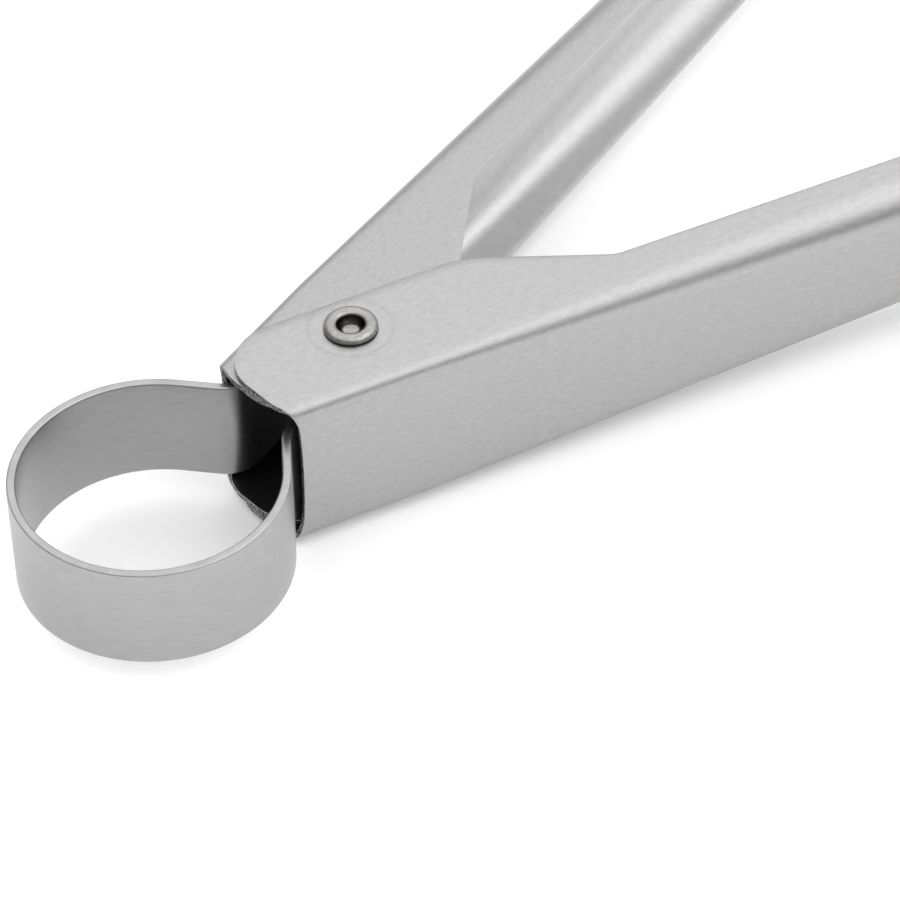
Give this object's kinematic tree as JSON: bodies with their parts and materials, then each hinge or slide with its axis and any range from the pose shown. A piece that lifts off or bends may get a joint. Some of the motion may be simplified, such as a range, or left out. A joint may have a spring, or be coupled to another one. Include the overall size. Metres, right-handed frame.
{
  "type": "kitchen tongs",
  "caption": "Spring loaded kitchen tongs: channel arms with scalloped jaws, nested at their ears on a rivet, pushed apart by a strip spring bent to a hanging ring.",
  "frame": {"origin": "on the axis of the hanging ring, at half the height of the arms", "axes": "+X from the ring towards the jaws in the middle plane, +Z parallel to the pivot, the rolled end of the rivet up"},
  "size_m": [0.295, 0.1386, 0.034],
  "materials": {
    "arm_steel": "satin brushed along the arm",
    "spring_steel": "rolled and finely brushed along the strip",
    "rivet_steel": "smooth, as headed"
  },
  "bodies": {
    "spring": {"ring_spring": "spring_steel"},
    "outer_arm": {"outer_arm": "arm_steel", "pivot_rivet": "rivet_steel"},
    "inner_arm": {"inner_arm": "arm_steel"}
  },
  "joints": [
    {"name": "outer_arm_squeeze", "type": "hinge", "parent": "spring", "child": "outer_arm", "pos_m": [0.0329, 0, 0], "axis": [0, 0, 1], "range_deg": [0, 15.13], "stiffness_Nm_per_rad": 4, "springref_deg": -4.58, "deforming": ["ring_spring"]},
    {"name": "inner_arm_squeeze", "type": "hinge", "parent": "spring", "child": "inner_arm", "pos_m": [0.0329, 0, 0], "axis": [0, 0, 1], "range_deg": [-15.13, 0], "stiffness_Nm_per_rad": 4, "springref_deg": 4.58, "deforming": ["ring_spring"]}
  ],
  "couplings": [
    {"joint": "inner_arm_squeeze", "follows": "outer_arm_squeeze", "ratio": -1}
  ]
}
